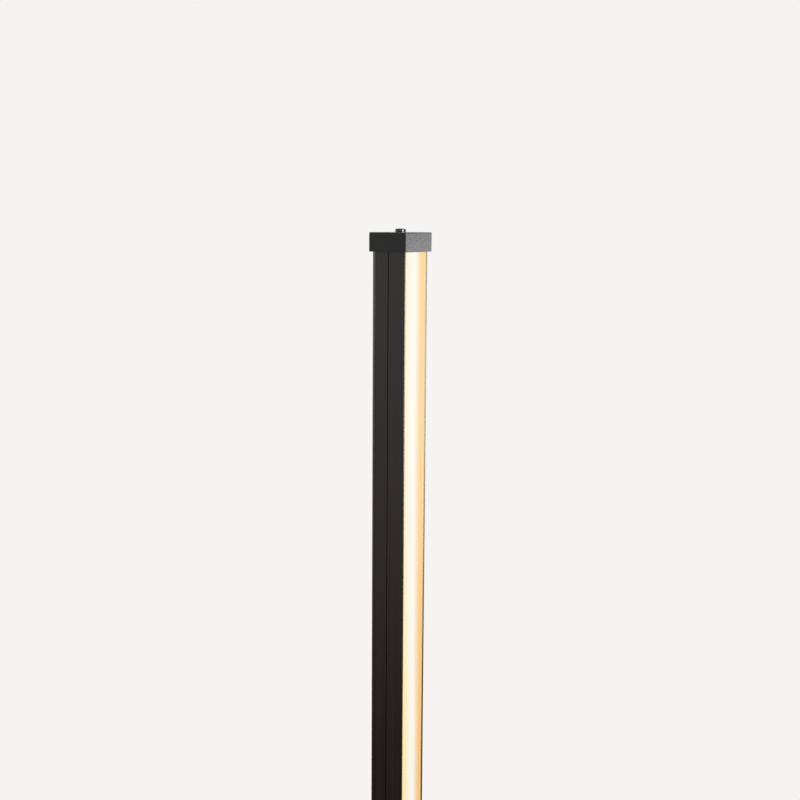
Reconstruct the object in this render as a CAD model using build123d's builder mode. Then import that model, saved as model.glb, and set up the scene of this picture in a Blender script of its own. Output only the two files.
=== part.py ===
from build123d import *
import os

# A floor lamp built round one square aluminium column. The column stands in a socket on a
# heavy steel plate, glows through an opal strip let into its front face, and carries a
# square cap with a push button on top.
# Frame: origin on the floor under the middle of the base, +Z up, the lit face towards -Y.
# All sizes are in millimetres.

# Overall sizes
lamp_height = 1400.0  # floor to the top face of the cap
column_width = 25.0  # across the lit face
column_depth = 25.7  # front to back, with the rear cover standing a little past the square
outer_side = 29.0  # cap and socket, square in plan
sleeve_clearance = 0.15  # between the column and the sleeves round its two ends

# Base plate and feet
base_side = 220.0
base_thickness = 8.0
base_corner_radius = 14.0
base_top_chamfer = 1.2
base_bottom_chamfer = 0.6
foot_side = 22.0
foot_height = 4.0
foot_recess = 1.0  # how far a foot is let into the plate
foot_clearance = 0.1
foot_chamfer = 1.0
foot_inset = 26.0  # foot centre from the plate's edges

# Socket on the plate
socket_height = 68.0
socket_grip = 26.0  # how deep the column stands in the socket
socket_floor = 4.0  # web under the column's end
socket_wall = 2.0  # wall of the chamber under that web
boss_side = 9.0
boss_height = 12.0
boss_thread_radius = 2.55
boss_thread_depth = 11.0
edge_round = 0.5  # upright edges of cap and socket
rim_chamfer = 0.4  # level edges of cap and socket

# Screws: countersunk ones under the plate and in the cap, pan heads under the socket's web
base_screw_radius = 2.5
base_screw_head_radius = 4.7
base_screw_grip = 9.0  # length in the socket's boss
base_screw_clearance = 0.5
end_screw_radius = 1.2
end_screw_grip = 11.0  # length in the column's screw port
end_screw_clearance = 0.35
cap_screw_head_radius = 2.6
socket_screw_head_radius = 2.4
socket_screw_head_height = 2.0
head_clearance = 0.15  # a countersink round its screw's head
recess_span_share = 1.1  # cross recess: its length, width and depth over the head's radius
recess_width_share = 0.26
recess_depth_share = 0.4

# Column: an extruded profile, a snap-on rear cover and a snap-in diffuser
wall = 1.2
web_thickness = 1.6
web_from_back = 12.8  # middle of the web, in line with the guide grooves
guide_groove_width = 0.6
guide_groove_depth = 0.8
seam_gap = 0.35  # shadow line between the profile and the rear cover
seam_gap_depth = 0.5
lip_round = 0.3
port_inset = 2.0  # screw port centre from the wall and from the web
port_radius = 2.4
port_bore_radius = 1.25
port_mouth = 1.2
cover_rim = 2.6
cover_plate = 1.4
cover_side_angle = 78.0  # its sides lean in from the seam to the back
cover_corner_round = 0.5
snap_leg = 1.0
snap_leg_length = 3.2
snap_depth = 0.4
snap_clearance = 0.1
diffuser_thickness = 1.6
diffuser_setback = 0.4  # lit face behind the tips of the walls
diffuser_edge_round = 0.3

# Light engine on the web
strip_width = 10.0
strip_thickness = 0.3
strip_end_gap = 3.0
chip_width = 2.8
chip_length = 3.5
chip_height = 0.7
group_length = 62.5  # the shortest length that the strip can be cut to, with one resistor
chips_per_group = 6
resistor_width = 1.25
resistor_length = 2.0
resistor_height = 0.5
resistor_offset = 3.2  # to one side of the row of chips
lead_radius = 0.6
lead_spacing = 5.0
lead_overlap = 5.0  # length soldered down on the strip

# Cap, push button and control board
cap_height = 12.3
cap_roof = 2.0
cap_grip = 3.2  # how far the cap reaches down over the column
post_width = 6.4
post_tip_width = 4.4  # lower end, through the board and down to the column
board_clearance = 0.3  # board inside the cap
board_hole_clearance = 0.15
board_thickness = 1.0
insulator_thickness = 0.5
button_radius = 3.5
button_rise = 2.5  # above the cap
button_bevel = 0.45
button_clearance = 0.15
button_flange_radius = 4.6
button_flange = 0.9
button_gap = 0.1  # flange under the cap's roof, at rest
button_travel = 1.2
switch_side = 6.2
switch_height = 3.0
plunger_radius = 1.7
plunger_clearance = 0.1
plunger_depth = 1.0  # length inside the switch, at rest
component_gap = 1.4  # between the parts on the board
driver_chip = (5.0, 4.0, 1.6)
transistor = (6.0, 5.0, 2.2)

# Power inlet in the back of the socket, and the wires to the board
jack_height = 20.0  # axis above the plate
jack_flange_radius = 5.5
jack_flange = 2.0
jack_barrel_radius = 4.0
jack_barrel_length = 14.0
jack_hole_clearance = 0.15
jack_bore_radius = 3.15
jack_bore_depth = 11.0
jack_pin_radius = 1.05
jack_pin_root = 2.0
jack_pin_setback = 1.0  # tip of the pin inside the mouth
jack_pin_tip_chamfer = 0.4
jack_fit = 0.05  # contacts in the moulded housing
nut_across_flats = 10.0
nut_thickness = 2.0
lug_width = 2.0
lug_length = 4.5
lug_thickness = 0.5
lug_root = 2.0
wire_radius = 0.8
wire_spacing = 4.4
wire_from_web = 4.3  # axis behind the web, in the column's rear duct
wire_rise = 2.0  # upright length above the lug
wire_slope = 2.2  # rise for each millimetre across to the duct
wire_bend_radius = 6.0
wire_slot_clearance = 0.7

# Levels worked out from the sizes above
plate_bottom = foot_height - foot_recess
plate_top = plate_bottom + base_thickness
socket_top = plate_top + socket_height
column_bottom = socket_top - socket_grip
chamber_top = column_bottom - socket_floor
cap_bottom = lamp_height - cap_height
cap_ceiling = lamp_height - cap_roof
column_top = cap_bottom + cap_grip
board_bottom = column_top + insulator_thickness
board_top = board_bottom + board_thickness
switch_top = board_top + switch_height
flange_top = cap_ceiling - button_gap
flange_bottom = flange_top - button_flange
jack_level = plate_top + jack_height

# Plan sizes worked out from the sizes above
column_length = column_top - column_bottom
column_front = -column_width / 2
column_back = column_front + column_depth
column_middle = (column_front + column_back) / 2
inner_half = column_width / 2 - wall
sleeve_width = column_width + 2 * sleeve_clearance
sleeve_depth = column_depth + 2 * sleeve_clearance
socket_back = outer_side / 2
seam = column_back - cover_rim
web_middle = column_back - web_from_back
web_front = web_middle - web_thickness / 2
web_back = web_middle + web_thickness / 2
port_x = inner_half - port_inset
port_y = web_back + port_inset
port_points = [(-port_x, port_y), (port_x, port_y)]
post_reach = sleeve_width - 2 * port_x  # a post from its cap's side wall inwards
lit_face = column_front + diffuser_setback
wire_y = web_back + wire_from_web
boss_y = socket_back - socket_wall - boss_side / 2
boss_points = [(0, -boss_y), (0, boss_y)]
foot_at = base_side / 2 - foot_inset
foot_spacing = 2 * foot_at
strip_front = web_front - strip_thickness
strip_bottom = column_bottom + strip_end_gap
strip_top = column_top - strip_end_gap
lead_y = strip_front - lead_radius
lead_points = [(-lead_spacing / 2, lead_y), (lead_spacing / 2, lead_y)]


def facing_front(y):
    """A plane at depth y that looks towards -Y, with X and Z as its own axes."""
    return Plane.XZ.offset(-y)


def diamond(x, y, depth, mode=Mode.ADD):
    """A square on its corner at x, y: a groove or a barb of that depth, in an extrusion's section."""
    with Locations((x, y)):
        Rectangle(depth * 2**0.5, depth * 2**0.5, rotation=45, mode=mode)


def snap_legs(root, tip):
    """Two legs with barbs, from root to tip along Y, that spring in between the column's walls."""
    outer = inner_half - snap_clearance
    for side in (-1, 1):
        with Locations((side * (outer - snap_leg / 2), (root + tip) / 2)):
            Rectangle(snap_leg, abs(tip - root))
        diamond(side * outer, snap_y(root, tip), snap_depth)


def snap_y(root, tip):
    """Where the barb sits on a leg that runs from root to tip."""
    return tip + (snap_depth if tip < root else -snap_depth)


def screw(head_outline, head_radius, shank_radius, length):
    """A screw with the top of its head at Z 0: its outline turned about Z, with a cross recess."""
    recess_span = head_radius * recess_span_share
    recess_width = head_radius * recess_width_share
    with BuildPart() as turned:
        with BuildSketch(Plane.XZ):
            with BuildLine():
                Polyline((0, 0), *head_outline, (shank_radius, -length), (0, -length), close=True)
            make_face()
        revolve(axis=Axis.Z)
        with BuildSketch(Plane.XY):
            Rectangle(recess_span, recess_width)
            Rectangle(recess_width, recess_span)
        extrude(amount=-head_radius * recess_depth_share, mode=Mode.SUBTRACT)
    return turned.part


def countersunk_screw(head_radius, shank_radius, length):
    """Its 90 degree head lies flush in a countersink."""
    outline = [(head_radius, 0), (shank_radius, shank_radius - head_radius)]
    return screw(outline, head_radius, shank_radius, length)


def pan_screw(head_radius, head_height, shank_radius, length):
    """Its head seats on the face it clamps."""
    outline = [(head_radius, 0), (head_radius, -head_height), (shank_radius, -head_height)]
    return screw(outline, head_radius, shank_radius, head_height + length)


# Base plate: cut from steel plate, drilled and countersunk from below for the socket's screws
with BuildPart() as base_plate:
    with BuildSketch(Plane.XY.offset(plate_bottom)):
        RectangleRounded(base_side, base_side, base_corner_radius)
    extrude(amount=base_thickness)
    chamfer(base_plate.faces().sort_by(Axis.Z)[-1].edges(), base_top_chamfer)
    chamfer(base_plate.faces().sort_by(Axis.Z)[0].edges(), base_bottom_chamfer)
    with BuildSketch(Plane.XY.offset(plate_bottom)):
        with GridLocations(foot_spacing, foot_spacing, 2, 2):
            Rectangle(foot_side + 2 * foot_clearance, foot_side + 2 * foot_clearance)
    extrude(amount=foot_recess, mode=Mode.SUBTRACT)
    with Locations(Plane.XY.offset(plate_bottom) * Rotation(180, 0, 0)):
        with Locations(*boss_points):
            CounterSinkHole(
                base_screw_radius + base_screw_clearance,
                base_screw_head_radius + head_clearance,
                depth=base_thickness,
            )

# Feet: square moulded rubber pads glued into the recesses, bevelled where they meet the floor
with BuildPart() as one_foot:
    with BuildSketch(Plane.XY):
        Rectangle(foot_side, foot_side)
    extrude(amount=foot_height)
    chamfer(one_foot.faces().sort_by(Axis.Z)[0].edges(), foot_chamfer)

with BuildPart() as base_feet:
    with GridLocations(foot_spacing, foot_spacing, 2, 2):
        add(one_foot.part)

# Socket: a square die casting, with a sleeve for the column above and a chamber for the inlet below
with BuildPart() as column_socket:
    with BuildSketch(Plane.XY.offset(plate_top)):
        Rectangle(outer_side, outer_side)
    extrude(amount=socket_height)
    fillet(column_socket.edges().filter_by(Axis.Z), edge_round)
    chamfer(column_socket.faces().sort_by(Axis.Z)[-1].edges(), rim_chamfer)
    with BuildSketch(Plane.XY.offset(column_bottom)):
        with Locations((0, column_middle)):
            Rectangle(sleeve_width, sleeve_depth)
    extrude(amount=socket_grip, mode=Mode.SUBTRACT)
    with BuildSketch(Plane.XY.offset(plate_top)):
        Rectangle(outer_side - 2 * socket_wall, outer_side - 2 * socket_wall)
    extrude(amount=chamber_top - plate_top, mode=Mode.SUBTRACT)
    with BuildSketch(Plane.XY.offset(plate_top)):
        with Locations(*boss_points):
            Rectangle(boss_side, boss_side)
    extrude(amount=boss_height)
    with BuildSketch(Plane.XY.offset(plate_top)):
        with Locations(*boss_points):
            Circle(boss_thread_radius)
    extrude(amount=boss_thread_depth, mode=Mode.SUBTRACT)
    with BuildSketch(Plane.XY.offset(chamber_top)):
        with Locations(*port_points):
            Circle(end_screw_radius + end_screw_clearance)
        with Locations((0, wire_y)):
            SlotCenterToCenter(wire_spacing, 2 * (wire_radius + wire_slot_clearance))
    extrude(amount=socket_floor, mode=Mode.SUBTRACT)
    with BuildSketch(facing_front(socket_back)):
        with Locations((0, jack_level)):
            Circle(jack_barrel_radius + jack_hole_clearance)
    extrude(amount=socket_wall, mode=Mode.SUBTRACT)

# Base screws: up through the plate into the socket's bosses
base_screw = countersunk_screw(
    base_screw_head_radius, base_screw_radius, base_thickness + base_screw_grip
)
with BuildPart() as base_screws:
    with Locations(Plane.XY.offset(plate_bottom) * Rotation(180, 0, 0)):
        with Locations(*boss_points):
            add(base_screw)

# Socket screws: up through the socket's web into the column's screw ports
socket_screw = pan_screw(
    socket_screw_head_radius,
    socket_screw_head_height,
    end_screw_radius,
    socket_floor + end_screw_grip,
)
with BuildPart() as socket_screws:
    with Locations(Plane.XY.offset(chamber_top - socket_screw_head_height) * Rotation(180, 0, 0)):
        with Locations(*[(x, -y) for x, y in port_points]):
            add(socket_screw)

# Column profile: an H section with the light chamber in front of its web and the wire duct behind.
# Screw ports run the whole length in the duct's corners, and a guide groove marks the web outside.
with BuildPart() as column_profile:
    with BuildSketch(Plane.XY.offset(column_bottom)):
        with Locations((0, (column_front + seam) / 2)):
            Rectangle(column_width, seam - column_front)
        with Locations((0, (column_front + web_front) / 2)):
            Rectangle(2 * inner_half, web_front - column_front, mode=Mode.SUBTRACT)
        with Locations((0, (web_back + seam) / 2)):
            Rectangle(2 * inner_half, seam - web_back, mode=Mode.SUBTRACT)
        with GridLocations(2 * inner_half - port_inset, 0, 2, 1):
            with Locations((0, web_back + port_inset / 2)):
                Rectangle(port_inset, port_inset)
        with Locations(*port_points):
            Circle(port_radius)
        with Locations(*port_points):
            Circle(port_bore_radius, mode=Mode.SUBTRACT)
        with Locations(*[(x, y + port_radius / 2) for x, y in port_points]):
            Rectangle(port_mouth, port_radius, mode=Mode.SUBTRACT)
        for side in (-1, 1):
            with Locations((side * column_width / 2, web_middle)):
                Rectangle(2 * guide_groove_depth, guide_groove_width, mode=Mode.SUBTRACT)
            with Locations((side * column_width / 2, seam - seam_gap / 2)):
                Rectangle(2 * seam_gap_depth, seam_gap, mode=Mode.SUBTRACT)
            for tip, root in (
                (lit_face + snap_leg_length, lit_face),
                (seam - snap_leg_length, seam),
            ):
                diamond(side * inner_half, snap_y(root, tip), snap_depth, Mode.SUBTRACT)
    extrude(amount=column_length)
    outer_lips = column_profile.edges().filter_by(Axis.Z).group_by(Axis.Y)[0].sort_by(Axis.X)
    fillet([outer_lips[0], outer_lips[-1]], lip_round)

# Rear cover: an extruded lid that snaps on behind, its rim flush with the column's sides at the seam
with BuildPart() as rear_cover:
    with BuildSketch(Plane.XY.offset(column_bottom)):
        with Locations((0, seam + cover_rim / 2)):
            Trapezoid(column_width, cover_rim, cover_side_angle)
        with Locations((0, (seam + column_back - cover_plate) / 2)):
            Rectangle(2 * inner_half, cover_rim - cover_plate, mode=Mode.SUBTRACT)
        snap_legs(column_back - cover_plate, seam - snap_leg_length)
    extrude(amount=column_length)
    back_edges = rear_cover.edges().filter_by(Axis.Z).group_by(Axis.Y)[-1]
    fillet(back_edges, cover_corner_round)

# Diffuser: an extruded opal strip that snaps in between the walls, just behind their tips
with BuildPart() as diffuser:
    with BuildSketch(Plane.XY.offset(column_bottom)):
        with Locations((0, lit_face + diffuser_thickness / 2)):
            Rectangle(2 * (inner_half - snap_clearance), diffuser_thickness)
        snap_legs(lit_face + diffuser_thickness, lit_face + snap_leg_length)
    extrude(amount=column_length)
    lit_edges = diffuser.edges().filter_by(Axis.Z).group_by(Axis.Y)[0]
    fillet(lit_edges, diffuser_edge_round)

# Light strip: a flexible circuit stuck to the web, with a row of chips and a resistor for each group
strip_length = strip_top - strip_bottom
group_count = int((strip_length - 2 * lead_overlap) // group_length)
chip_count = group_count * chips_per_group
chip_pitch = group_length / chips_per_group
strip_middle = (strip_bottom + strip_top) / 2

with BuildPart() as led_strip:
    with BuildSketch(facing_front(web_front)):
        with Locations((0, strip_middle)):
            Rectangle(strip_width, strip_length)
    extrude(amount=strip_thickness)

with BuildPart() as led_chips:
    with BuildSketch(facing_front(strip_front)):
        with Locations((0, strip_middle)):
            with GridLocations(chip_width, chip_pitch, 1, chip_count):
                Rectangle(chip_width, chip_length)
    extrude(amount=chip_height)

with BuildPart() as strip_resistors:
    with BuildSketch(facing_front(strip_front)):
        with Locations((resistor_offset, strip_middle)):
            with GridLocations(resistor_width, group_length, 1, group_count):
                Rectangle(resistor_width, resistor_length)
    extrude(amount=resistor_height)

# Strip leads: two short wires from the board down to the strip's solder pads
with BuildPart() as strip_leads:
    with BuildSketch(Plane.XY.offset(strip_top - lead_overlap)):
        with Locations(*lead_points):
            Circle(lead_radius)
    extrude(amount=board_bottom - strip_top + lead_overlap)

# Cap: a moulded lid over the column's end. Two stepped posts on its side walls carry the cap
# screws, hold the board down by their shoulders and stand on the column.
with BuildPart() as top_cap:
    with BuildSketch(Plane.XY.offset(cap_bottom)):
        Rectangle(outer_side, outer_side)
    extrude(amount=cap_height)
    fillet(top_cap.edges().filter_by(Axis.Z), edge_round)
    chamfer(top_cap.faces().sort_by(Axis.Z)[-1].edges(), rim_chamfer)
    with BuildSketch(Plane.XY.offset(cap_bottom)):
        with Locations((0, column_middle)):
            Rectangle(sleeve_width, sleeve_depth)
    extrude(amount=cap_height - cap_roof, mode=Mode.SUBTRACT)
    for width, level in ((post_width, board_top), (post_tip_width, column_top)):
        with BuildSketch(Plane.XY.offset(level)):
            with Locations(*port_points):
                Rectangle(post_reach, width)
        extrude(amount=cap_ceiling - level)
    with BuildSketch(Plane.XY.offset(cap_ceiling)):
        Circle(button_radius + button_clearance)
    extrude(amount=cap_roof, mode=Mode.SUBTRACT)
    with Locations(Plane.XY.offset(lamp_height)):
        with Locations(*port_points):
            CounterSinkHole(
                end_screw_radius + end_screw_clearance,
                cap_screw_head_radius + head_clearance,
                depth=lamp_height - column_top,
            )

# Cap screws: countersunk into the cap's top, down through the posts into the screw ports
cap_screw = countersunk_screw(
    cap_screw_head_radius, end_screw_radius, lamp_height - column_top + end_screw_grip
)
with BuildPart() as cap_screws:
    with Locations(Plane.XY.offset(lamp_height)):
        with Locations(*port_points):
            add(cap_screw)

# Control board on a sheet of insulating fibre, clamped between the posts and the column's end
board_width = sleeve_width - 2 * board_clearance
board_depth = sleeve_depth - 2 * board_clearance
notch_reach = post_reach + 2 * board_hole_clearance
notch_width = post_tip_width + 2 * board_hole_clearance

with BuildPart() as insulator_sheet:
    with BuildSketch(Plane.XY.offset(column_top)):
        with Locations((0, column_middle)):
            Rectangle(board_width, board_depth)
        with Locations(*port_points):
            Rectangle(notch_reach, notch_width, mode=Mode.SUBTRACT)
        with Locations((0, wire_y)):
            Rectangle(
                wire_spacing + 2 * (wire_radius + board_hole_clearance),
                2 * (wire_radius + board_hole_clearance),
                mode=Mode.SUBTRACT,
            )
        with Locations((0, lead_y)):
            Rectangle(
                lead_spacing + 2 * (lead_radius + board_hole_clearance),
                2 * (lead_radius + board_hole_clearance),
                mode=Mode.SUBTRACT,
            )
    extrude(amount=insulator_thickness)

with BuildPart() as control_board:
    with BuildSketch(Plane.XY.offset(board_bottom)):
        with Locations((0, column_middle)):
            Rectangle(board_width, board_depth)
        with Locations(*port_points):
            Rectangle(notch_reach, notch_width, mode=Mode.SUBTRACT)
    extrude(amount=board_thickness)

with BuildPart() as board_components:
    for side, (width, depth, height) in ((-1, driver_chip), (1, transistor)):
        with BuildSketch(Plane.XY.offset(board_top)):
            with Locations(
                (
                    side * (width + component_gap) / 2,
                    -(switch_side + depth) / 2 - component_gap,
                )
            ):
                Rectangle(width, depth)
        extrude(amount=height)

# Push switch under the button: a square body with a bore, and the plunger that slides in it
with BuildPart() as switch_body:
    with BuildSketch(Plane.XY.offset(board_top)):
        Rectangle(switch_side, switch_side)
    extrude(amount=switch_height)
    with BuildSketch(Plane.XY.offset(switch_top)):
        Circle(plunger_radius + plunger_clearance)
    extrude(amount=-(plunger_depth + button_travel + plunger_clearance), mode=Mode.SUBTRACT)

with BuildPart() as switch_plunger:
    with BuildSketch(Plane.XY.offset(switch_top - plunger_depth)):
        Circle(plunger_radius)
    extrude(amount=flange_bottom - switch_top + plunger_depth)

# Push button: a polished moulding with a bevelled rim, kept in the cap by its flange
button_top = lamp_height + button_rise

with BuildPart() as power_button:
    with BuildSketch(Plane.XZ):
        with BuildLine():
            Polyline(
                (0, flange_bottom),
                (button_flange_radius, flange_bottom),
                (button_flange_radius, flange_top),
                (button_radius, flange_top),
                (button_radius, button_top - button_bevel),
                (button_radius - button_bevel, button_top),
                (0, button_top),
                close=True,
            )
        make_face()
    revolve(axis=Axis.Z)

# Power inlet: a round panel socket through the back wall, held by a nut inside the chamber
barrel_end = socket_back - jack_barrel_length
mouth = socket_back + jack_flange
bore_end = mouth - jack_bore_depth
lug_points = [(-wire_spacing / 2, jack_level), (wire_spacing / 2, jack_level)]

with BuildPart() as dc_jack_housing:
    with BuildSketch(facing_front(mouth)):
        with Locations((0, jack_level)):
            Circle(jack_flange_radius)
    extrude(amount=jack_flange)
    chamfer(dc_jack_housing.faces().sort_by(Axis.Y)[-1].edges(), rim_chamfer)
    with BuildSketch(facing_front(socket_back)):
        with Locations((0, jack_level)):
            Circle(jack_barrel_radius)
    extrude(amount=jack_barrel_length)
    with BuildSketch(facing_front(mouth)):
        with Locations((0, jack_level)):
            Circle(jack_bore_radius)
    extrude(amount=jack_bore_depth, mode=Mode.SUBTRACT)
    with BuildSketch(facing_front(bore_end)):
        with Locations((0, jack_level)):
            Circle(jack_pin_radius + jack_fit)
    extrude(amount=jack_pin_root, mode=Mode.SUBTRACT)
    with BuildSketch(facing_front(barrel_end + lug_root)):
        with Locations(*lug_points):
            Rectangle(lug_width + 2 * jack_fit, lug_thickness + 2 * jack_fit)
    extrude(amount=lug_root, mode=Mode.SUBTRACT)

with BuildPart() as dc_jack_pin:
    with BuildSketch(facing_front(mouth - jack_pin_setback)):
        with Locations((0, jack_level)):
            Circle(jack_pin_radius)
    extrude(amount=jack_bore_depth - jack_pin_setback + jack_pin_root)
    chamfer(dc_jack_pin.faces().sort_by(Axis.Y)[-1].edges(), jack_pin_tip_chamfer)

with BuildPart() as dc_jack_nut:
    with BuildSketch(facing_front(socket_back - socket_wall)):
        with Locations((0, jack_level)):
            RegularPolygon(nut_across_flats / 2, 6, major_radius=False)
            Circle(jack_barrel_radius + jack_fit, mode=Mode.SUBTRACT)
    extrude(amount=nut_thickness)

with BuildPart() as dc_jack_lugs:
    with BuildSketch(facing_front(barrel_end + lug_root)):
        with Locations(*lug_points):
            Rectangle(lug_width, lug_thickness)
    extrude(amount=lug_root + lug_length)


# Supply wires: from the lugs up through the socket's web, then up the duct to the board
def supply_wire(x):
    """One insulated wire at x, from its lug to the underside of the board."""
    lug_y = barrel_end - lug_length / 2
    lug_top = jack_level + lug_thickness / 2
    with BuildPart() as wire:
        with BuildLine() as route:
            FilletPolyline(
                (x, lug_y, lug_top),
                (x, lug_y, lug_top + wire_rise),
                (x, wire_y, lug_top + wire_rise + (wire_y - lug_y) * wire_slope),
                (x, wire_y, board_bottom),
                radius=wire_bend_radius,
            )
        with BuildSketch(Plane(route.line @ 0, z_dir=route.line % 0)):
            Circle(wire_radius)
        sweep()
    return wire


supply_wire_positive = supply_wire(-wire_spacing / 2)
supply_wire_negative = supply_wire(wire_spacing / 2)

pieces = {
    "base_plate": base_plate,
    "base_feet": base_feet,
    "base_screws": base_screws,
    "column_socket": column_socket,
    "socket_screws": socket_screws,
    "column_profile": column_profile,
    "rear_cover": rear_cover,
    "diffuser": diffuser,
    "led_strip": led_strip,
    "led_chips": led_chips,
    "strip_resistors": strip_resistors,
    "strip_leads": strip_leads,
    "top_cap": top_cap,
    "cap_screws": cap_screws,
    "insulator_sheet": insulator_sheet,
    "control_board": control_board,
    "board_components": board_components,
    "switch_body": switch_body,
    "switch_plunger": switch_plunger,
    "power_button": power_button,
    "dc_jack_housing": dc_jack_housing,
    "dc_jack_pin": dc_jack_pin,
    "dc_jack_nut": dc_jack_nut,
    "dc_jack_lugs": dc_jack_lugs,
    "supply_wire_positive": supply_wire_positive,
    "supply_wire_negative": supply_wire_negative,
}

os.makedirs("parts", exist_ok=True)
for name, piece in pieces.items():
    piece.part.label = name
    export_step(piece.part, f"parts/{name}.step")
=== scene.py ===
from math import cos, radians, sin, tan

import bpy
from mathutils import Euler, Matrix, Vector


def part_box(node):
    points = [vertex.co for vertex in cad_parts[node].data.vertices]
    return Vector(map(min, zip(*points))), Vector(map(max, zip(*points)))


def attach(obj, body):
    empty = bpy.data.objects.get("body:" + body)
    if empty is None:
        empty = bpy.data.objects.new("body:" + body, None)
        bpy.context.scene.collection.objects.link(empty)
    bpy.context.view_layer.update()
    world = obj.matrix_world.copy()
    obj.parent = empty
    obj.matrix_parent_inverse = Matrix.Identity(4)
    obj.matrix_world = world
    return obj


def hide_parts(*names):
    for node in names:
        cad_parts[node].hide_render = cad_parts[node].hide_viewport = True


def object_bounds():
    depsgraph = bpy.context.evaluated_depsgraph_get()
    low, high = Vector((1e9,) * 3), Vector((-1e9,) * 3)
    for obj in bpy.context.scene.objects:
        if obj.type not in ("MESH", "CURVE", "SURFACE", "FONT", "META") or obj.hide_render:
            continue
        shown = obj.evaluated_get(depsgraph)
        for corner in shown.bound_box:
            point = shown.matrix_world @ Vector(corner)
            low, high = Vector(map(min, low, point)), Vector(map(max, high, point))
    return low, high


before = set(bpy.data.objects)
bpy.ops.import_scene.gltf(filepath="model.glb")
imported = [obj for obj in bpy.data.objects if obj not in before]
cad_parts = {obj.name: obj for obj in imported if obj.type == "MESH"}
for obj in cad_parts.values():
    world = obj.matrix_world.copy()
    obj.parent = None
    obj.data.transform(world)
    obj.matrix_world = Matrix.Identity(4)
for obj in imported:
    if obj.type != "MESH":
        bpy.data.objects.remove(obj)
cad_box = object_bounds()

# Camera. The photograph looks slightly down on the top of the lamp from the left of its lit face,
# through a lens of about 55 mm, with the camera leaning a little to one side.
VIEW_PLACE = (-0.6415, -0.4660, 1.4123)
VIEW_AZIMUTH = -54.03
VIEW_DOWN = 8.69
VIEW_ROLL = 0.37
VIEW_LENS = 55.1
VIEW_SENSOR = 36.0
scene = bpy.context.scene
camera = bpy.data.objects.new("camera", bpy.data.cameras.new("camera"))
camera.data.lens = VIEW_LENS
camera.data.sensor_width = VIEW_SENSOR
camera.location = VIEW_PLACE
aim = Euler((radians(90 - VIEW_DOWN), 0, radians(VIEW_AZIMUTH))).to_matrix()
camera.rotation_euler = (aim @ Matrix.Rotation(radians(VIEW_ROLL), 3, "Z")).to_euler()
scene.collection.objects.link(camera)
scene.camera = camera
scene.view_settings.view_transform = "Standard"

# Base plate. Laser-cut mild steel, 8 mm thick, blasted and powder coated in a fine-textured black.
# Two countersunk screws from below hold the column's socket to it.
NOISE_LOW = 0.3  # noise seldom leaves this range
NOISE_HIGH = 0.7
MIX_FIRST = 6  # a mix node's sockets for two colours and for what it gives
MIX_SECOND = 7
MIX_RESULT = 2


def linear(hex_colour):
    """An sRGB hex colour as linear RGBA."""
    parts = [int(hex_colour[i:i + 2], 16) / 255 for i in (1, 3, 5)]
    return [c / 12.92 if c <= 0.04045 else ((c + 0.055) / 1.055) ** 2.4 for c in parts] + [1.0]


def set_inputs(tree, node, inputs):
    """Gives a node's inputs their values, or links them to the outputs of other nodes."""
    for socket, value in inputs.items():
        if isinstance(value, bpy.types.NodeSocket):
            tree.links.new(value, node.inputs[socket])
        else:
            node.inputs[socket].default_value = value


def add_node(tree, kind, inputs, **settings):
    """Adds a node with its settings and inputs."""
    node = tree.nodes.new(kind)
    for key, value in settings.items():
        setattr(node, key, value)
    set_inputs(tree, node, inputs)
    return node


def new_material(name):
    """A new material: itself, its node tree, its shader and the place on the object in metres."""
    material = bpy.data.materials.new(name)
    material.use_nodes = True
    tree = material.node_tree
    place = add_node(tree, "ShaderNodeTexCoord", {}).outputs["Object"]
    return material, tree, tree.nodes["Principled BSDF"], place


def grained(name, colours, roughness, specular, grain_mm, relief_mm, patch_mm, metallic=0.0):
    """A finish with grain as relief, and with colour and gloss that drift in patches."""
    material, tree, shader, place = new_material(name)
    grain = add_node(tree, "ShaderNodeTexNoise", {
        "Vector": place, "Scale": 1000 / grain_mm, "Detail": 2.0})
    relief = add_node(tree, "ShaderNodeBump", {
        "Height": grain.outputs["Fac"], "Strength": 1.0, "Distance": relief_mm / 1000})
    patch = add_node(tree, "ShaderNodeTexNoise", {
        "Vector": place, "Scale": 1000 / patch_mm, "Detail": 3.0})
    drift = add_node(tree, "ShaderNodeMapRange", {
        "Value": patch.outputs["Fac"], "From Min": NOISE_LOW, "From Max": NOISE_HIGH}).outputs["Result"]
    colour = add_node(tree, "ShaderNodeMix", {
        "Factor": drift, MIX_FIRST: linear(colours[0]), MIX_SECOND: linear(colours[1])}, data_type="RGBA")
    gloss = add_node(tree, "ShaderNodeMapRange", {
        "Value": drift, "To Min": roughness[0], "To Max": roughness[1]})
    set_inputs(tree, shader, {
        "Base Color": colour.outputs[MIX_RESULT], "Roughness": gloss.outputs["Result"],
        "Metallic": metallic, "Normal": relief.outputs["Normal"], "Specular IOR Level": specular})
    return material


def dress(material, *names):
    """Gives CAD nodes their material."""
    for name in names:
        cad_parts[name].material_slots[0].material = material


# Powder coat: the eye sees a soft sheen broken up by orange peel, which is drawn twice as coarse as
# the real one so that it shows.
powder_coat = grained(
    "powder_coat_fine_black", ("#1b1b1c", "#202021"), roughness=(0.43, 0.50), specular=0.4,
    grain_mm=1.2, relief_mm=0.03, patch_mm=30.0)
dress(powder_coat, "base_plate")

# Feet. Square pads of moulded black rubber, glued into recesses under the plate.
# Rubber: dead matt, a little lighter where it is dusty.
rubber = grained(
    "rubber_moulded_black", ("#161616", "#212121"), roughness=(0.75, 0.88), specular=0.3,
    grain_mm=0.8, relief_mm=0.03, patch_mm=12.0)
dress(rubber, "base_feet")

# Socket. An aluminium die casting, coated together with the plate so that both match.
# The column stands in its upper half, and the power inlet sits in its back.
dress(powder_coat, "column_socket")

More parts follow.
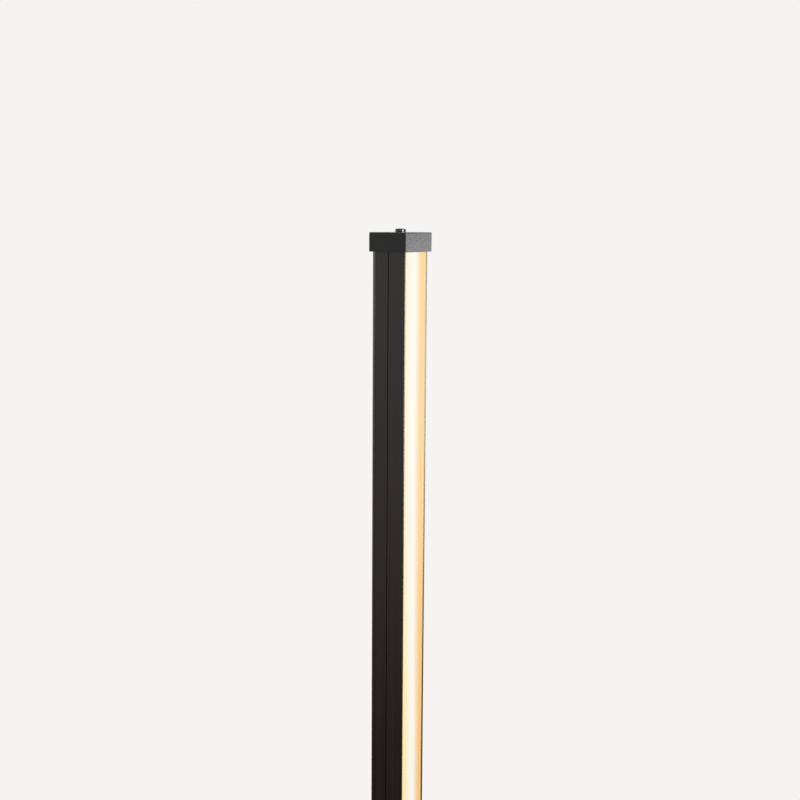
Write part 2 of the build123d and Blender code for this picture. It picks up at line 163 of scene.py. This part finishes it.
# Screws. Two large countersunk ones under the plate, two pan heads inside the socket and two small
# countersunk ones in the cap's top, all of steel with a black oxide finish.
# Black oxide: a thin dark skin with a dull metallic shine, lighter where a driver has rubbed it.
oxide = grained(
    "steel_black_oxide", ("#262627", "#4a4a4b"), roughness=(0.50, 0.32), specular=0.5,
    grain_mm=0.3, relief_mm=0.004, patch_mm=1.5, metallic=1.0)
dress(oxide, "base_screws", "socket_screws", "cap_screws")

# Power inlet. A round panel socket of moulded nylon through the socket's back wall, with a nut inside.
# Nylon: slightly glossy black with a smooth moulded skin.
nylon = grained(
    "nylon_moulded_black", ("#151516", "#1d1d1e"), roughness=(0.30, 0.40), specular=0.5,
    grain_mm=1.5, relief_mm=0.006, patch_mm=6.0)
dress(nylon, "dc_jack_housing")

# Its pin, nut and lugs are turned or stamped from brass and plated.
# Nickel plate: a warm silver with a fine satin grain.
nickel = grained(
    "brass_nickel_plated", ("#b5aea0", "#d2ccc0"), roughness=(0.18, 0.34), specular=0.5,
    grain_mm=0.4, relief_mm=0.002, patch_mm=2.0, metallic=1.0)
dress(nickel, "dc_jack_pin", "dc_jack_nut", "dc_jack_lugs")


# Wires. Stranded copper in smooth PVC: red and black up the rear duct, and two short black leads
# that drop from the board to the light strip.
# PVC: an even colour with a soft shine.
def pvc(name, colours):
    """The skin of a wire in its colours."""
    return grained(
        name, colours, roughness=(0.35, 0.45), specular=0.5, grain_mm=2.0, relief_mm=0.01, patch_mm=20.0)


dress(pvc("pvc_wire_red", ("#8a1411", "#a81b17")), "supply_wire_positive")
dress(pvc("pvc_wire_black", ("#131313", "#1c1c1c")), "supply_wire_negative", "strip_leads")

# Column. Two aluminium extrusions, satin etched and anodised black: the profile with its guide groove
# and the cover that snaps on behind.
# Anodised aluminium: a deep, warm black with a silky sheen, drawn into faint lines by the die. The real
# lines are finer than a picture shows, so these are drawn coarser.
LINE_WIDTH_MM = 1.2
LINE_LENGTH_MM = 400.0
ETCH_MM = 0.25
ETCH_DEPTH_MM = 0.004
SHEEN_SHARP = 0.28  # roughness along the glossiest lines, and along the dullest
SHEEN_SOFT = 0.40
anodised, tree, shader, place = new_material("aluminium_anodised_black_satin")
drawn = add_node(tree, "ShaderNodeMapping", {
    "Vector": place, "Scale": (1000 / LINE_WIDTH_MM, 1000 / LINE_WIDTH_MM, 1000 / LINE_LENGTH_MM)})
lines = add_node(tree, "ShaderNodeTexNoise", {
    "Vector": drawn.outputs["Vector"], "Scale": 1.0, "Detail": 3.0})
drift = add_node(tree, "ShaderNodeMapRange", {
    "Value": lines.outputs["Fac"], "From Min": NOISE_LOW, "From Max": NOISE_HIGH}).outputs["Result"]
colour = add_node(tree, "ShaderNodeMix", {
    "Factor": drift, MIX_FIRST: linear("#130b07"), MIX_SECOND: linear("#1d120d")}, data_type="RGBA")
sheen = add_node(tree, "ShaderNodeMapRange", {
    "Value": drift, "To Min": SHEEN_SHARP, "To Max": SHEEN_SOFT})
etch = add_node(tree, "ShaderNodeTexNoise", {"Vector": place, "Scale": 1000 / ETCH_MM, "Detail": 1.0})
relief = add_node(tree, "ShaderNodeBump", {
    "Height": etch.outputs["Fac"], "Strength": 1.0, "Distance": ETCH_DEPTH_MM / 1000})
set_inputs(tree, shader, {
    "Base Color": colour.outputs[MIX_RESULT], "Roughness": sheen.outputs["Result"],
    "Normal": relief.outputs["Normal"], "Specular IOR Level": 0.41})
dress(anodised, "column_profile", "rear_cover")

# Light strip. A white flexible circuit stuck to the column's web, with a row of light chips under
# yellow phosphor and a small black resistor for every six of them.
# Solder resist: a soft white; phosphor: a matt egg yellow; epoxy: a dull black.
resist_white = grained(
    "solder_resist_white", ("#e2e1da", "#f0efea"), roughness=(0.40, 0.50), specular=0.5,
    grain_mm=3.0, relief_mm=0.005, patch_mm=15.0)
dress(resist_white, "led_strip")
phosphor = grained(
    "phosphor_yellow", ("#e0ae36", "#f0c85e"), roughness=(0.50, 0.60), specular=0.5,
    grain_mm=0.6, relief_mm=0.01, patch_mm=4.0)
dress(phosphor, "led_chips")
epoxy = grained(
    "epoxy_chip_black", ("#141415", "#1e1e1f"), roughness=(0.50, 0.60), specular=0.5,
    grain_mm=0.5, relief_mm=0.005, patch_mm=4.0)
dress(epoxy, "strip_resistors")

# Diffuser. An extruded strip of opal acrylic, snapped in between the walls and lit from behind.
# Lit opal: white along the line where the chips shine through, cream and amber to either side of it.
# On the way down from the cap, where the light strip is fed, the line leans over and the colours deepen.
# A lit lamp outshines the white of a picture, so it throws more light on what is round it than it shows,
# and most of all near the feed.
GLOW = ((0.00, "#fff0b8"), (0.47, "#fdfcf8"), (0.84, "#fbd28c"), (1.00, "#fdd996"))  # across the width
GLOW_EVEN = 0.12  # from the strip's top down to where the change begins
GLOW_DEEP = 0.36  # and to where it is complete
GLOW_DEEPENING = 0.6  # added to the colours' gamma by then
GLOW_LEAN = 0.08  # share of the width that the line has moved by then
GLOW_SHOWN = 0.83
GLOW_THROWN_HIGH = 20.0
GLOW_THROWN_LOW = 3.0
RIPPLE_MM = 6.0
RIPPLE_DEPTH_MM = 0.005
low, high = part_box("diffuser")
opal, tree, shader, place = new_material("acrylic_opal_lit_warm_white")
axes = add_node(tree, "ShaderNodeSeparateXYZ", {"Vector": place})
down = add_node(tree, "ShaderNodeMapRange", {
    "Value": axes.outputs["Z"], "From Min": high[2] - GLOW_EVEN, "From Max": high[2] - GLOW_DEEP},
    interpolation_type="SMOOTHSTEP").outputs["Result"]
across = add_node(tree, "ShaderNodeMapRange", {
    "Value": axes.outputs["X"], "From Min": low[0], "From Max": high[0], "To Min": GLOW_LEAN})
leaning = add_node(tree, "ShaderNodeMath", {
    0: down, 1: -GLOW_LEAN, 2: across.outputs["Result"]}, operation="MULTIPLY_ADD")
glow = add_node(tree, "ShaderNodeValToRGB", {"Fac": leaning.outputs[0]})
glow.color_ramp.interpolation = "EASE"
stops = glow.color_ramp.elements
for position, _ in GLOW[1:-1]:
    stops.new(position)
for stop, (position, hex_colour) in zip(stops, GLOW):
    stop.position = position
    stop.color = linear(hex_colour)
deepening = add_node(tree, "ShaderNodeMath", {
    0: down, 1: GLOW_DEEPENING, 2: 1.0}, operation="MULTIPLY_ADD")
deepened = add_node(tree, "ShaderNodeGamma", {
    "Color": glow.outputs["Color"], "Gamma": deepening.outputs[0]})
ray = add_node(tree, "ShaderNodeLightPath", {})
thrown = add_node(tree, "ShaderNodeMapRange", {
    "Value": down, "To Min": GLOW_THROWN_HIGH, "To Max": GLOW_THROWN_LOW})
lit = add_node(tree, "ShaderNodeMapRange", {
    "Value": ray.outputs["Is Camera Ray"], "To Min": thrown.outputs["Result"], "To Max": GLOW_SHOWN})
ripple = add_node(tree, "ShaderNodeTexNoise", {"Vector": place, "Scale": 1000 / RIPPLE_MM, "Detail": 1.0})
skin = add_node(tree, "ShaderNodeBump", {
    "Height": ripple.outputs["Fac"], "Strength": 1.0, "Distance": RIPPLE_DEPTH_MM / 1000})
set_inputs(tree, shader, {
    "Base Color": linear("#5c574d"), "Roughness": 0.6, "Specular IOR Level": 0.15,
    "Normal": skin.outputs["Normal"], "Emission Color": deepened.outputs["Color"],
    "Emission Strength": lit.outputs["Result"]})
dress(opal, "diffuser")

# Cap. A square moulding in black ABS with a spark-eroded texture, screwed down on the column's end.
# Textured ABS: an even black that turns a mottled grey where it mirrors a light at a slant. The texture
# is drawn some four times as coarse as the real one so that it shows.
textured_abs = grained(
    "abs_textured_black", ("#111111", "#1b1b1b"), roughness=(0.26, 0.36), specular=0.27,
    grain_mm=0.6, relief_mm=0.015, patch_mm=1.2)
dress(textured_abs, "top_cap")

# Control board. Glass-fibre board on a sheet of grey insulating fibre, with the dimmer's chip and
# transistor in epoxy and the push switch in nylon soldered to it.
# Solder resist: a satin green; pressed fibre: a flat grey.
resist_green = grained(
    "solder_resist_green", ("#1b5631", "#236e3f"), roughness=(0.35, 0.45), specular=0.5,
    grain_mm=2.0, relief_mm=0.005, patch_mm=8.0)
dress(resist_green, "control_board")
fibre_grey = grained(
    "pressed_fibre_grey", ("#8c8982", "#a4a19a"), roughness=(0.70, 0.80), specular=0.3,
    grain_mm=0.6, relief_mm=0.02, patch_mm=6.0)
dress(fibre_grey, "insulator_sheet")
dress(epoxy, "board_components")
dress(nylon, "switch_body")

# Push button. A polished black moulding with a low crown that slides in the cap, kept in by a flange.
# Above the cap its side has a little draft. The switch's white acetal plunger stands under it.
# Polished plastic: nearly black, with one sharp highlight down its side.
BUTTON_RADIUS = 0.0035
BUTTON_FLANGE = 0.0009
BUTTON_DRAFT = 3.0
BUTTON_EDGE = 0.0005
BUTTON_CROWN = 0.00025
EDGE_STEPS = 8
TURN_STEPS = 64
SHARP_ANGLE = 50.0
low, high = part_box("power_button")
flange_top = low[2] + BUTTON_FLANGE
cap_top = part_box("top_cap")[1][2]
edge_middle = high[2] - BUTTON_CROWN - BUTTON_EDGE
crown_radius = BUTTON_RADIUS - BUTTON_EDGE - (edge_middle - cap_top) * tan(radians(BUTTON_DRAFT))
outline = [
    (high[0], low[2]), (high[0], flange_top), (BUTTON_RADIUS, flange_top), (BUTTON_RADIUS, cap_top)]
for step in range(EDGE_STEPS + 1):
    turn = radians(90 * step / EDGE_STEPS)
    outline.append((crown_radius + BUTTON_EDGE * cos(turn), edge_middle + BUTTON_EDGE * sin(turn)))
for step in range(EDGE_STEPS - 1, -1, -1):
    share = step / EDGE_STEPS
    outline.append((crown_radius * share, high[2] - BUTTON_CROWN * share ** 2))


def lathe(name, outline):
    """A piece turned about Z from an outline of (radius, height) points that ends on the axis."""
    count = len(outline)
    turns = [radians(360 * i / TURN_STEPS) for i in range(TURN_STEPS)]
    points = [
        (radius * cos(turn), radius * sin(turn), height) for turn in turns for radius, height in outline]
    faces = []
    for i in range(TURN_STEPS):
        here = i * count
        after = (i + 1) % TURN_STEPS * count
        faces += [(here + j, after + j, after + j + 1, here + j + 1) for j in range(count - 1)]
    mesh = bpy.data.meshes.new(name)
    mesh.from_pydata(points, [], faces)
    mesh.shade_smooth()
    mesh.set_sharp_from_angle(angle=radians(SHARP_ANGLE))
    piece = bpy.data.objects.new(name, mesh)
    scene.collection.objects.link(piece)
    return piece


polished_abs = grained(
    "abs_polished_black", ("#0a0a0b", "#101011"), roughness=(0.14, 0.18), specular=0.5,
    grain_mm=3.0, relief_mm=0.001, patch_mm=5.0)
button = lathe("button_polished", outline)
button.data.materials.append(polished_abs)
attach(button, "button")
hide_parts("power_button")
acetal = grained(
    "acetal_white", ("#d6d5d0", "#e5e4e0"), roughness=(0.40, 0.50), specular=0.5,
    grain_mm=1.0, relief_mm=0.005, patch_mm=4.0)
dress(acetal, "switch_plunger")

# Floor. A plain sheet of pale paper that takes the lamp's shadow and fades out into the background.
# Paper: matt, with a faint fibre, lifted for the camera so that it meets the background's tone.
FLOOR_RADIUS = 1.6
FLOOR_CLEAR = 0.35  # from the lamp to where the floor begins to fade
FLOOR_CORNERS = 72
FLOOR_LIFT = 0.27
FIBRE_MM = 2.0
PALE = "#f6f4f2"
mesh = bpy.data.meshes.new("floor")
turns = [radians(360 * i / FLOOR_CORNERS) for i in range(FLOOR_CORNERS)]
ring = [(FLOOR_RADIUS * cos(turn), FLOOR_RADIUS * sin(turn), 0.0) for turn in turns]
mesh.from_pydata(ring, [], [list(range(FLOOR_CORNERS))])
floor = bpy.data.objects.new("floor", mesh)
scene.collection.objects.link(floor)
paper, tree, shader, place = new_material("paper_pale")
away = add_node(tree, "ShaderNodeVectorMath", {0: place}, operation="LENGTH")
fade = add_node(tree, "ShaderNodeMapRange", {
    "Value": away.outputs["Value"], "From Min": FLOOR_CLEAR, "From Max": FLOOR_RADIUS,
    "To Min": 1.0, "To Max": 0.0}, interpolation_type="SMOOTHSTEP")
fibre = add_node(tree, "ShaderNodeTexNoise", {"Vector": place, "Scale": 1000 / FIBRE_MM, "Detail": 3.0})
colour = add_node(tree, "ShaderNodeMix", {
    "Factor": fibre.outputs["Fac"], MIX_FIRST: linear("#dcdad7"), MIX_SECOND: linear("#e2e0dd")},
    data_type="RGBA")
ray = add_node(tree, "ShaderNodeLightPath", {})
lift = add_node(tree, "ShaderNodeMath", {
    0: ray.outputs["Is Camera Ray"], 1: FLOOR_LIFT}, operation="MULTIPLY")
set_inputs(tree, shader, {
    "Base Color": colour.outputs[MIX_RESULT], "Roughness": 0.9, "Specular IOR Level": 0.1,
    "Emission Color": linear(PALE), "Emission Strength": lift.outputs[0], "Alpha": fade.outputs["Result"]})
mesh.materials.append(paper)

# Background. Pale all round for the camera, mirrored as it is by shiny surfaces, and weaker as light on
# the lamp. For all but the camera it turns dim below the horizon.
FILL = 0.5
HORIZON_TOP = -13.0  # degrees, where it begins to dim
HORIZON_BOTTOM = -25.0
DIM = 0.03
world = bpy.data.worlds.new("studio")
scene.world = world
world.use_nodes = True
tree = world.node_tree
ray = add_node(tree, "ShaderNodeLightPath", {})
mirrored = add_node(tree, "ShaderNodeMath", {
    0: ray.outputs["Is Glossy Ray"], 1: ray.outputs["Is Transmission Ray"]}, operation="MAXIMUM")
strength = add_node(tree, "ShaderNodeMapRange", {
    "Value": mirrored.outputs[0], "To Min": FILL, "To Max": 1.0})
place = add_node(tree, "ShaderNodeTexCoord", {}).outputs["Generated"]
axes = add_node(tree, "ShaderNodeSeparateXYZ", {"Vector": place})
dimmed = add_node(tree, "ShaderNodeMapRange", {
    "Value": axes.outputs["Z"], "From Min": sin(radians(HORIZON_BOTTOM)),
    "From Max": sin(radians(HORIZON_TOP)), "To Min": DIM, "To Max": 1.0})
level = add_node(tree, "ShaderNodeMath", {
    0: strength.outputs["Result"], 1: dimmed.outputs["Result"]}, operation="MULTIPLY")
seen = add_node(tree, "ShaderNodeMath", {
    0: level.outputs[0], 1: ray.outputs["Is Camera Ray"]}, operation="MAXIMUM")
set_inputs(tree, tree.nodes["Background"], {"Color": linear(PALE), "Strength": seen.outputs[0]})


# Lights. A large softbox on the right of the lit face, a wide one in front that stands above the cap's
# level and draws the highlight on the button, whose side leans back towards it, and a small one behind
# that draws a line down the cover's leaning rim.
def softbox(name, azimuth, distance, height, size, power):
    """An area light of size (width, height) in metres that stands round the lamp and faces its top."""
    light = bpy.data.objects.new(name, bpy.data.lights.new(name, "AREA"))
    light.data.shape = "RECTANGLE"
    light.data.size, light.data.size_y = size
    light.data.energy = power
    light.location = (distance * sin(radians(azimuth)), -distance * cos(radians(azimuth)), height)
    lamp_top = Vector((0, 0, cad_box[1][2]))
    light.rotation_euler = (light.location - lamp_top).to_track_quat("Z", "Y").to_euler()
    light.visible_camera = False
    scene.collection.objects.link(light)


softbox("key_right", azimuth=50.0, distance=1.9, height=1.13, size=(1.10, 0.50), power=17.5)
softbox("high_front", azimuth=1.0, distance=1.9, height=1.63, size=(0.90, 0.34), power=24.0)
softbox("rim_behind", azimuth=-150.0, distance=1.6, height=1.30, size=(0.60, 0.24), power=1.1)
